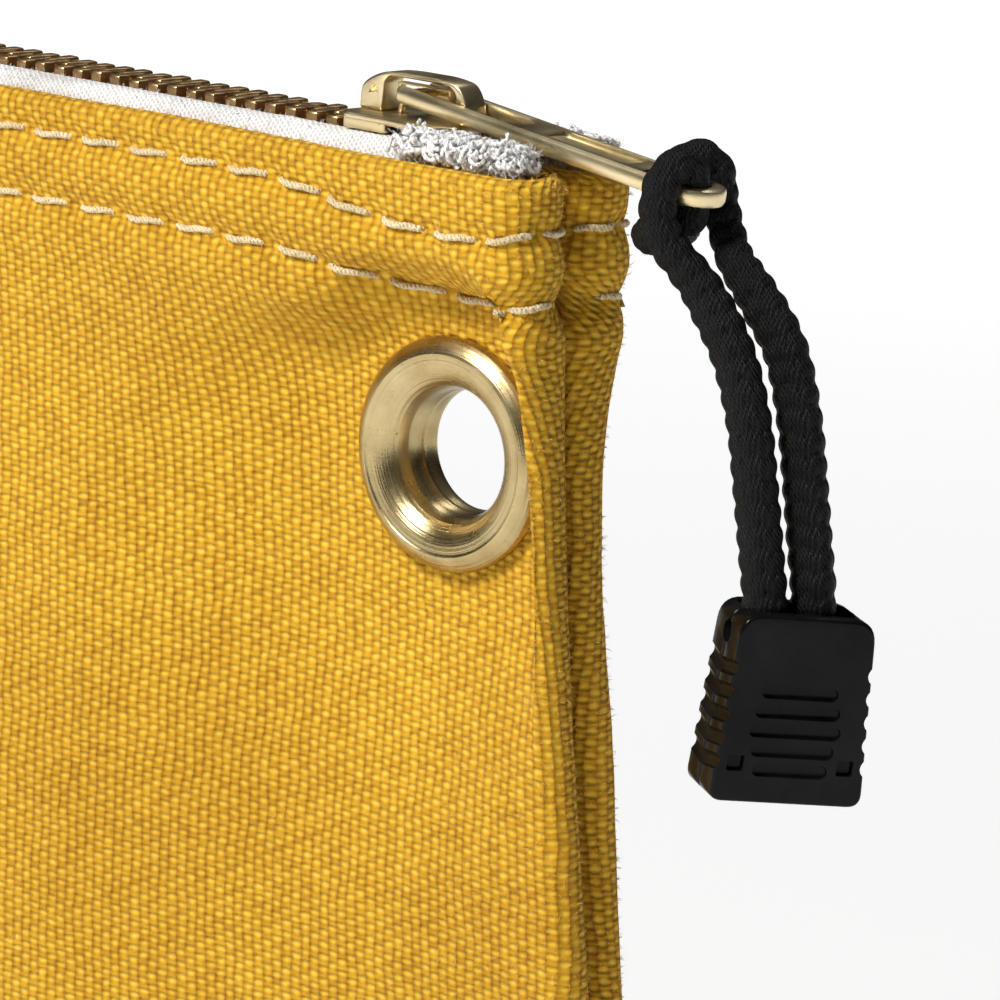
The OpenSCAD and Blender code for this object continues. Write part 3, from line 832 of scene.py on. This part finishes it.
def hairs(name, roots, outward, length, spread, material, seed):
    """Short curved fibres standing from the given points."""
    rng = np.random.default_rng(seed)
    n = len(roots)
    out = outward + rng.normal(0, spread, (n, 3))
    out /= np.linalg.norm(out, axis=1)[:, None]
    bend = rng.normal(0, 1, (n, 3))
    bend -= out * (bend * out).sum(1)[:, None]
    bend /= np.linalg.norm(bend, axis=1)[:, None]
    size = length * rng.uniform(0.35, 1.25, n)[:, None]
    root = roots - out * 0.15
    middle = roots + out * size * 0.5 + bend * size * 0.12
    tip = roots + out * size * 0.85 + bend * size * 0.5
    side = np.cross(out, bend)
    verts = []
    for point, r in ((root, HAIR_R), (middle, HAIR_R * 0.8)):
        for t in np.radians((0, 120, 240)):
            verts.append(point + r * (bend * math.cos(t) + side * math.sin(t)))
    verts = np.stack(verts + [tip], 1).reshape(-1, 3)
    one = [(0, 1, 4, 3), (1, 2, 5, 4), (2, 0, 3, 5), (3, 4, 6), (4, 5, 6), (5, 3, 6)]
    faces = [tuple(i + 7 * k for i in f) for k in range(n) for f in one]
    piece(name, (verts, faces), "root", [], material)


def panel_hairs(word, grid, normal, seed):
    rng = np.random.default_rng(seed)
    top = int(np.argmax(grid[:, COLUMNS // 2, 2]))
    roots, out = [], []
    # Each band: how many fibres, between which rows and between which columns.
    for count, low, high, first, last in (
        (2600, top - 6, top + 5, 6, COLUMNS - 6),
        (2600, 60, top - 4, 6, 34),
        (900, 20, 60, 6, 34),
        (1700, 20, top - 4, COLUMNS - 34, COLUMNS - 6),
        (2600, 20, top - 4, 30, COLUMNS - 30),
    ):
        j = rng.integers(low, high, count)
        i = rng.integers(first, last, count)
        clear = np.hypot(grid[j, i, 0] - HOLE[0], grid[j, i, 2] - HOLE[2]) > FLANGE_R + 0.3
        roots.append(grid[j, i][clear])
        out.append(normal[j, i][clear])
    roots, out = np.concatenate(roots), np.concatenate(out)
    hairs(word + "_canvas_fibres", roots, out, 0.62, 0.7, FUZZ, seed)


panel_hairs("front", FRONT_GRID, FRONT_NORMAL, 21)
panel_hairs("back", BACK_GRID, BACK_NORMAL, 22)


# ---- Stitching ----
PLIES = 3


def twisted(path, radius, lay):
    """A thread of a few plies twisted together along a path."""
    far = travelled(path)
    _, a, b = frames_along(path)
    parts = Parts()
    for k in range(PLIES):
        turn = 2 * math.pi * (far / lay + k / PLIES)
        offset = a * np.cos(turn)[:, None] + b * np.sin(turn)[:, None]
        parts.add(*tube(path + offset * radius * 0.5, radius * 0.58, 6))
    return parts.shape()


def make_row(word, row):
    starts, at = ROWS[word, row]
    parts = Parts()
    t = np.linspace(0, 1, 17)
    lift = 0.42 * np.sin(math.pi * t) ** 0.45 - 0.55 * (1 - np.sin(math.pi * t) ** 0.5)
    for s in starts:
        long = 4.7 * RNG.uniform(0.95, 1.05)
        points, out = at(s + t * long)
        points = points + out * (lift - 0.36)[:, None]
        points[:, 2] += 0.12 * np.sin(2 * math.pi * t) + RNG.normal(0, 0.05)
        parts.add(*twisted(points, 0.34, 1.25))
    node = word + "_" + row + "_stitching"
    piece(word + "_" + row + "_thread", parts.shape(), "root", [node], THREAD)


for WORD, ROW in ROWS:
    make_row(WORD, ROW)


def make_seam(word, centres):
    """Short stitches that cross between the two panels' turned edges."""
    parts = Parts()
    t = np.linspace(-1, 1, 9)[:, None]
    for centre in centres:
        path = np.array(centre) + t * [0, 1.1, 0] + (1 - t**2) * [0, 0, 0.25]
        parts.add(*twisted(path, 0.36, 1.5))
    node = word + "_seam_stitching"
    piece(word + "_seam_thread", parts.shape(), "root", [node], THREAD)


for TURN, WORD in ((1, "right"), (-1, "left")):
    SEAM_Z = np.arange(12, HIGH - 44, STITCH)
    make_seam(WORD, [(MID + TURN * (side_x(z) - 3.4), 0, z) for z in SEAM_Z])
SEAM_X = np.arange(PANEL_LO[0] + 14, PANEL_HI[0] - 14, STITCH)
make_seam("bottom", [(x, 0, 0.55) for x in SEAM_X])


# ---- Zipper ----
TAPE_LO, TAPE_HI = mm_box("front_tape")


def make_tape(word, side):
    """One side's woven tape: level beside the teeth, then turned down inside the hem."""
    edge = [(-3.05, 0.38), (-4.7, 0.42), (-5.95, -0.9), (-5.95, -11.0),
            (-5.2, -11.0), (-5.2, -1.2), (-4.4, -0.32), (-3.05, -0.32)]
    section = np.array(rounded(edge, [0.3, 1.0, 1.4, 0.2, 0.2, 0.9, 0.9, 0.3], 4))
    n = len(section)
    x = np.arange(TAPE_LO[0], TAPE_HI[0], 0.9)
    grid = np.zeros((len(x), n, 3))
    grid[:, :, 0] = x[:, None]
    grid[:, :, 1:] = section + [0, CHAIN_Z]
    spots = grid.reshape(-1, 3) / [5, 3, 1]
    lift = np.array([noise.noise(Vector((p[0], p[1], 4.0 * side))) for p in spots])
    lift = lift.reshape(len(x), n)
    free = rise(-3.1, -4.2, grid[:, :, 1])
    fold = rise(TAPE_HI[0] - 15, TAPE_HI[0] - 7, grid[:, :, 0])
    swell = 0.3 * lift + (0.9 + 0.8 * lift) * fold
    grid[:, :, 2] += swell * free * (grid[:, :, 2] > CHAIN_Z - 3)
    grid[:, :, 1] += 0.2 * np.roll(lift, 3, 0) * free
    faces = [tuple(f) for f in grid_faces(len(x), n, close=True, flip=True)]
    caps = [tuple(range(n)), tuple((len(x) - 1) * n + k for k in range(n))[::-1]]
    shape = grid.reshape(-1, 3), faces + caps
    if side < 0:
        shape = mirrored(shape)
        grid[:, :, 1] *= -1
    piece(word + "_woven_tape", shape, "root", [word + "_tape"], TAPE, 50)
    rng = np.random.default_rng(31 + side)
    i, j = rng.integers(4, len(x) - 4, 1500), rng.integers(0, 8, 1500)
    up = np.tile([0.0, -0.2 * side, 1.0], (1500, 1))
    hairs(word + "_tape_fibres", grid[i, j], up, 0.5, 0.8, TAPE, 41 + side)
    make_tape_end(word, side, rng)


def make_tape_end(word, side, rng):
    """The tape's end is folded over: a clump of short loops and loose fibres."""
    parts = Parts()
    for _ in range(420):
        back, out, up = rng.uniform(0, 13), rng.uniform(3.9, 7.2), rng.uniform(-0.6, 1.3)
        size = rng.uniform(0.3, 0.7)
        t = np.linspace(0, rng.uniform(3.5, 7), 14)
        loop = np.stack([np.cos(t), np.sin(t), 0.35 * t], 1) * size
        spin = Matrix.Rotation(rng.uniform(0, 6.3), 4, "Z")
        tilt = spin @ Matrix.Rotation(rng.uniform(0.3, 1.6), 4, "X")
        loop = turned((loop, []), tilt)[0] + [TAPE_HI[0] - back, -side * out, CHAIN_Z + up]
        parts.add(*tube(loop, 0.2, 6))
    piece(word + "_tape_end_loops", parts.shape(), "root", [], TAPE)
    count = 2600
    back, out, up = (rng.uniform(a, b, count) for a, b in ((-0.6, 14), (3.4, 7.4), (-0.8, 1.7)))
    roots = np.stack([TAPE_HI[0] - back, -side * out, CHAIN_Z + up], 1)
    outward = np.tile([0.1, -0.3 * side, 1.0], (count, 1))
    hairs(word + "_tape_end_fibres", roots, outward, 0.8, 0.9, TAPE, 61 + side)


make_tape("front", 1)
make_tape("back", -1)

TOOTH_PITCH = 2.5


def tooth_shape():
    half = [(0.7, -3.0), (0.78, -1.5), (0.5, -0.95), (0.52, 0.7), (0.3, 1.0)]
    edge = [(-0.7, -3.0)] + half + [(-x, y) for x, y in half[:0:-1]]
    body = plate([rounded(edge, 0.35, 3)], 2.4, 0.3)
    dimple = plate([arc(0, 0, 0.34, 0, 330, 12)], 0.7, 0.1, 2)
    return carve(body, [moved(dimple, (0, -0.35, up)) for up in (1.3, -1.3)])


def make_teeth(word, side):
    tooth = tooth_shape()
    lo, hi = mm_box(word + "_teeth")
    count = int(round((hi[0] - lo[0] - 1.5) / TOOTH_PITCH)) + 1
    parts = Parts()
    rng = np.random.default_rng(51 + side)
    for k in range(count):
        yaw = Matrix.Rotation(math.radians(rng.normal(0, 1.3)), 4, "Z")
        one = turned(tooth, yaw @ Matrix.Rotation(math.radians(rng.normal(0, 1.2)), 4, "X"))
        if side < 0:
            one = mirrored(one)
        at = lo[0] + 0.78 + TOOTH_PITCH * k
        parts.add(*moved(one, (at, 0, CHAIN_Z + rng.normal(0, 0.03))))
    node = word + "_teeth"
    piece(word + "_zip_teeth", parts.shape(), "root", [node], TEETH, 35)


make_teeth("front", 1)
make_teeth("back", -1)


def make_stop(node, name):
    """A crimped metal stop: a block with a pinched waist over the tape's edge."""
    lo, hi = mm_box(node)
    size, centre = hi - lo, (lo + hi) / 2
    w, d = size[0] / 2, size[1] / 2
    shape = plate([box_loop(-w, w, -d, d, 0.35, 5)], size[2], 0.28)
    groove = plate([box_loop(-w * 0.25, w * 0.25, -d * 1.3, d * 1.3, 0.15, 3)], 0.6, 0.15, 2)
    shape = moved(carve(shape, [moved(groove, (0, 0, size[2] / 2))]), centre)
    piece(name, shape, "root", [node], COPPER, 35)


make_stop("front_top_stop", "front_copper_stop")
make_stop("back_top_stop", "back_copper_stop")
make_stop("bottom_stop", "bottom_copper_stop")

# ---- Slider ----
# Its parts are drawn from the tab's pivot along X and from the chain's middle in height.
SLIDER_AT = np.array([PIVOT[0], 0, CHAIN_Z])
NOSE, LIP_END, PLATE_END, NOSE_HALF, SHOULDER = -6.1, -0.2, 7.2, 4.35, 5.1
PLATE_Z, PLATE_T = 2.0, 0.7


def make_slider():
    half = [(NOSE, NOSE_HALF - 0.9), (NOSE + 0.9, NOSE_HALF), (LIP_END, NOSE_HALF), (LIP_END + 4, SHOULDER),
            (PLATE_END - 1.6, SHOULDER - 0.2), (PLATE_END, SHOULDER - 2.2)]
    edge = [(x, -y) for x, y in half] + half[::-1]
    outer = rounded(edge, [0.6, 0.6, 0.8, 0.9, 1.0, 1.2, 1.2, 1.0, 0.9, 0.8, 0.6, 0.6], 5)
    slot = box_loop(-3, -1.4, -0.6, 0.6, 0.15, 3)
    wall_z = (0.55 + PLATE_Z) / 2 - 0.02
    wall = plate([box_loop(NOSE + 0.75, LIP_END - 0.1, 3.25, 4.3, 0.3, 4)], PLATE_Z - 0.6, 0.2)
    parts = Parts()
    for flip, loops in ((1, [outer, slot]), (-1, [outer])):
        leaf = plate(loops, PLATE_T, 0.22, 4)
        parts.add(*moved(leaf, SLIDER_AT + [0, 0, flip * (PLATE_Z - PLATE_T / 2)]))
        for one in (wall, mirrored(wall)):
            parts.add(*moved(one, SLIDER_AT + [0, 0, flip * wall_z]))
    edge = [(1.6, 0), (4.4, -1.9), (6.4, -1.5), (6.4, 1.5), (4.4, 1.9)]
    wedge = plate([rounded(edge, 0.5, 4)], 2 * PLATE_Z - 0.6, 0.1, 2)
    parts.add(*moved(wedge, SLIDER_AT))
    piece("slider_housing", parts.shape(), "slider", ["slider_body"], SLIDER, 32)


def make_cover():
    low = PLATE_Z + 0.02
    edge = [(-6, low), (-5.95, 4.1), (-4.8, 5.0), (-3.2, 5.65), (-1, 5.8), (3.4, 5.8), (5.6, 5.45),
            (6.5, 4.2), (7.0, low), (5.6, low), (5.5, 3.4), (5.2, 4.7), (4.2, 5.3), (-2.6, 5.3),
            (-3.2, 4.8), (-3.3, low)]
    bends = [0.2, 1.0, 1.0, 1.0, 1.5, 1.5, 1.4, 1.2, 0.3, 0.2, 0.8, 0.8, 0.8, 0.5, 0.5, 0.2]
    shape = plate([rounded(edge, bends, 5)], 2.8, 0.24, 4)
    mark = plate([[(-5.0, 3.5), (-4.25, 4.55), (-3.85, 3.75)]], 0.8, 0.1, 1)
    shape = moved(upright(carve(shape, [moved(mark, (0, 0, 1.5))])), SLIDER_AT)
    piece("slider_crown", shape, "slider", ["slider_cover"], SLIDER, 32)


def make_pawl():
    edge = [(-2.5, 1.35), (-2.1, 1.35), (-1.7, 2.7), (-2.05, 4.57), (3.5, 4.57),
            (3.7, 3.2), (4.0, 3.2), (3.8, 4.8), (-2.4, 4.8), (-2.1, 2.8)]
    shape = moved(upright(plate([rounded(edge, 0.15, 3)], 0.8, 0.06, 2)), SLIDER_AT)
    piece("locking_pawl", shape, "pawl", ["lock_pawl"], SLIDER, 32)


make_slider()
make_cover()
make_pawl()

# ---- Pull tab ----
TAB_LEN, TAB_HALF, TAB_T, DROOP = 34.6, 2.8, 1.6, 7.8
EYE_HALF, EYE_END, EYE_R = 1.65, 12.7, 1.3
HOLE_START, HOLE_END, HOLE_HALF = 27.2, 32.4, 1.75
RECESS_START, RECESS_GAP, RECESS_DEEP = 15.6, 1.7, 0.37


def make_tab():
    h, eye_x, eye_y = TAB_HALF, EYE_END - EYE_R, EYE_HALF - EYE_R
    outer = arc(-0.2, 0.5 - h, 0.5, 180, 270, 5) + arc(TAB_LEN - h, 0, h, -90, 90, 22)
    outer += arc(-0.2, h - 0.5, 0.5, 90, 180, 5) + arc(-0.4, EYE_HALF + 0.3, 0.3, 180, 270, 4)
    outer += arc(eye_x, eye_y, EYE_R, 90, 0, 8) + arc(eye_x, -eye_y, EYE_R, 0, -90, 8)
    outer += arc(-0.4, -EYE_HALF - 0.3, 0.3, 90, 180, 4)
    hole = box_loop(HOLE_START, HOLE_END, -HOLE_HALF, HOLE_HALF, [0.9, 1.6, 1.6, 0.9], 7)
    shape = plate([outer, hole], TAB_T, 0.42, 2)
    recess = box_loop(RECESS_START, HOLE_START - RECESS_GAP, -HOLE_HALF, HOLE_HALF, 0.8, 6)
    cutter = plate([recess], 1.0, 0.18, 2)
    up = TAB_T / 2 + 0.5 - RECESS_DEEP
    shape = carve(shape, [moved(cutter, (0, 0, up)), moved(cutter, (0, 0, -up))])
    bar = tube(np.array([[0, y, 0] for y in np.linspace(-2.5, 2.5, 9)]), 0.5, 20)
    shape = turned(shape, Matrix.Rotation(math.radians(DROOP), 4, "Y"))
    parts = Parts().add(*moved(shape, PIVOT)).add(*moved(bar, PIVOT))
    piece("brass_pull_tab", parts.shape(), "pull", ["pull_tab"], SLIDER, 28)


make_tab()


# ---- Grommet ----
LATHE_STEPS = 160


def lathe(profile):
    """Turns radius and height pairs about the grommet's axis, which points to the front."""
    p = np.array(profile)
    turn = 2 * math.pi * np.arange(LATHE_STEPS) / LATHE_STEPS
    verts = np.zeros((len(p), LATHE_STEPS, 3))
    verts[:, :, 0] = HOLE[0] + p[:, 0:1] * np.cos(turn)[None]
    verts[:, :, 1] = HOLE[1] - p[:, 1:2]
    verts[:, :, 2] = HOLE[2] + p[:, 0:1] * np.sin(turn)[None]
    faces = grid_faces(len(p), LATHE_STEPS, close=True, flip=True)
    return verts.reshape(-1, 3), [tuple(f) for f in faces]


def make_grommet():
    face = [(10.3, 1.35), (10.66, 1.5), (10.72, 1.95), (10.5, 2.45), (9.9, 3.0), (9.35, 3.3),
            (9.1, 3.34), (8.95, 3.24), (8.5, 3.2), (7.9, 3.08), (7.2, 2.72), (6.6, 2.2), (6.15, 1.5),
            (5.85, 0.6), (5.75, -0.3)]
    bead = [(5.75, -0.3), (5.66, -0.75), (5.58, -1.0), (5.62, -1.3), (5.6, -1.6), (5.56, -2.4),
            (5.7, -2.95), (6.3, -3.35), (7.1, -3.3), (7.7, -2.95), (7.6, -2.6), (7.2, -2.5)]
    under = [(7.2, -2.5), (6.4, -2.5), (6.1, -2.2), (6.1, 0.5), (6.6, 1.4), (7.6, 1.9), (9.2, 1.9),
             (10.3, 1.35)]
    face, bead, under = curve_through(face, 0.12), curve_through(bead, 0.12), curve_through(under, 0.3)
    shell = lathe(np.concatenate([face, bead[1:], under[1:-1], face[:1]]))
    piece("grommet_front_ring", shell, "root", ["grommet_eyelet"], GROMMET, 60)
    ring = [(6.25, -1.35), (10.3, -1.35), (10.66, -1.6), (10.6, -2.1), (10.1, -2.6), (9.4, -2.62),
            (8.6, -2.35), (7.6, -2.2), (6.3, -2.1), (6.22, -1.8), (6.25, -1.35)]
    shell = lathe(curve_through(ring, 0.15)[::-1])
    piece("grommet_back_washer", shell, "root", ["grommet_washer"], GROMMET, 60)


make_grommet()

# ---- Cord end ----
END_AT = np.array([174.6, 0, 136.2])
END_TURN = Matrix.Rotation(math.radians(55), 4, "Z") @ Matrix.Rotation(math.radians(4), 4, "Y")
# Half its height, half its width at the top and the bottom, and each shell's depth.
END_H, END_TOP, END_BOTTOM, END_DEPTH = 8.25, 6.0, 6.95, 3.4
GROOVE_R, GROOVES = 0.62, (6.9, 7.7, 8.3, 7.5, 6.8)


def end_cutters():
    """What is cut from a shell: face grooves, windows, side holes, side ribs and the cord's mouth."""
    cutters = []
    for k, long in enumerate(GROOVES):
        x = long / 2 - GROOVE_R
        loop = arc(x, 0, GROOVE_R, -90, 90, 9) + arc(-x, 0, GROOVE_R, 90, 270, 9)
        cutters.append(moved(plate([loop], 1.0, 0.12, 2), (0, 1.6 - 1.72 * k, END_DEPTH + 0.05)))
    window = plate([box_loop(-0.75, 0.75, -0.7, 0.7, 0.2, 4)], 2.2, 0.1, 2)
    hole = plate([arc(0, 0, 1.0, 0, 345, 24)], 1.6, 0.05, 1)
    hole = turned(hole, Matrix.Rotation(math.radians(90), 4, "Y"))
    rib = plate([arc(0, 0, 0.8, 0, 345, 20)], 10.0, 0.05, 1)
    rib = turned(rib, Matrix.Rotation(math.radians(-8), 4, "X"))
    for side in (-1, 1):
        cutters.append(moved(window, (side * 4.95, -4.8, END_DEPTH + 0.2)))
        cutters.append(moved(hole, (side * (END_TOP + 0.25), 5.9, 0)))
        for up in 3.0 - 2.05 * np.arange(5):
            wide = mix(END_TOP, END_BOTTOM, (END_H - up) / (2 * END_H))
            cutters.append(moved(rib, (side * (wide + 0.36), up, 0)))
    mouth = box_loop(-4.9, 4.9, END_H - 3, END_H + 2, 0.4, 4)
    return cutters + [plate([mouth], 2 * (END_DEPTH - 1.2), 0.1, 2)]


def make_shell(word, rear):
    corners = [(-END_BOTTOM, -END_H), (END_BOTTOM, -END_H), (END_TOP, END_H), (-END_TOP, END_H)]
    shape = plate([rounded(corners, [1.3, 1.3, 2.0, 2.0], 8)], END_DEPTH, 0.34, 4)
    shape = upright(carve(moved(shape, (0, 0, END_DEPTH / 2)), end_cutters()))
    shape = moved(shape, (0, -0.02, 0))
    if rear:
        shape = turned(shape, Matrix.Rotation(math.pi, 4, "Z"))
    shape = moved(turned(shape, END_TURN), END_AT)
    node = "cord_end_" + word
    return piece("cord_end_shell_" + word, shape, "cord", [node], PLASTIC, 30)


def make_knot():
    t = np.linspace(0, 2 * math.pi, 90)
    loop = [np.sin(t) + 2 * np.sin(2 * t), np.cos(t) - 2 * np.cos(2 * t), -1.3 * np.sin(3 * t)]
    loop = turned((np.stack(loop, 1) * 0.42, []), END_TURN)[0] + END_AT - [0, 0, 2]
    return piece("cord_end_knot", tube(loop, 0.72, 12), "cord", ["cord_knot"], CORD)


END_FRONT = make_shell("front", False)
END_BACK = make_shell("back", True)
KNOT = make_knot()

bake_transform(cord)


# ---- Studio ----
FLOOR_HALF, FLOOR_Z = 12.0, -0.0002
LIT_AT = Vector((0.08, 0, 0.12))


def make_floor():
    h = FLOOR_HALF
    corners = [(x, y, FLOOR_Z) for x, y in ((-h, -h), (h, -h), (h, h), (-h, h))]
    floor = bpy.data.meshes.new("floor")
    floor.from_pydata(corners, [], [(0, 1, 2, 3)])
    obj = linked("floor", floor)
    n = Nodes("studio_floor", Roughness=0.8, Specular_IOR_Level=0.1)
    where = n.node("TexCoord").outputs["Object"]
    n.shader.inputs["Emission Color"].default_value = (1, 1, 1, 1)
    far = n.node("VectorMath", {0: where}, operation="LENGTH").outputs["Value"]
    values = {"Value": far, "From Min": 0.2, "From Max": 1.6, "To Min": 0.32, "To Max": 1.0}
    n.put(n.shader.inputs["Emission Strength"], n.node("MapRange", values).outputs[0])
    stops = [(0.3, (0.78, 0.78, 0.78)), (0.7, (0.8, 0.8, 0.8))]
    floor.materials.append(n.done(n.ramp(n.noise(where, 3.0), stops)))


def area_light(name, az, el, far, size, power):
    data = bpy.data.lights.new(name, "AREA")
    data.shape, data.size, data.energy = "DISK", size, power
    lamp = linked(name, data)
    back = back_along(az, el)
    lamp.location = LIT_AT + back * far
    lamp.rotation_mode = "QUATERNION"
    lamp.rotation_quaternion = back.to_track_quat("Z", "Y")


def make_world():
    """A dim room, brighter overhead, that the camera itself sees as plain white."""
    world = bpy.data.worlds.new("studio")
    bpy.context.scene.world = world
    world.use_nodes = True
    tree = world.node_tree
    tree.nodes.clear()
    kinds = ("TexCoord", "SeparateXYZ", "ValToRGB", "Background", "Background", "LightPath", "MixShader")
    where, parts, ramp, studio, plain, path, both = (tree.nodes.new("ShaderNode" + k) for k in kinds)
    out = tree.nodes.new("ShaderNodeOutputWorld")
    stops = [(0.0, 0.5), (0.12, 0.05), (0.3, 0.1), (0.6, 0.5), (1.0, 0.9)]
    ends = ramp.color_ramp.elements
    while len(ends) < len(stops):
        ends.new(0.5)
    for end, (at, level) in zip(ends, stops):
        end.position, end.color = at, (level, level, level, 1)
    studio.inputs["Strength"].default_value = 0.15
    plain.inputs["Color"].default_value = (1, 1, 1, 1)
    plain.inputs["Strength"].default_value = 1.0
    for start, end in (
        (where.outputs["Generated"], parts.inputs[0]),
        (parts.outputs[2], ramp.inputs[0]),
        (ramp.outputs[0], studio.inputs["Color"]),
        (path.outputs["Is Camera Ray"], both.inputs[0]),
        (studio.outputs[0], both.inputs[1]),
        (plain.outputs[0], both.inputs[2]),
        (both.outputs[0], out.inputs[0]),
    ):
        tree.links.new(start, end)


bpy.context.scene.view_settings.view_transform = "Standard"
make_floor()
area_light("key", -8, 48, 1.3, 0.3, 20.5)
area_light("rear", 205, 55, 1.8, 0.6, 3.0)
make_world()
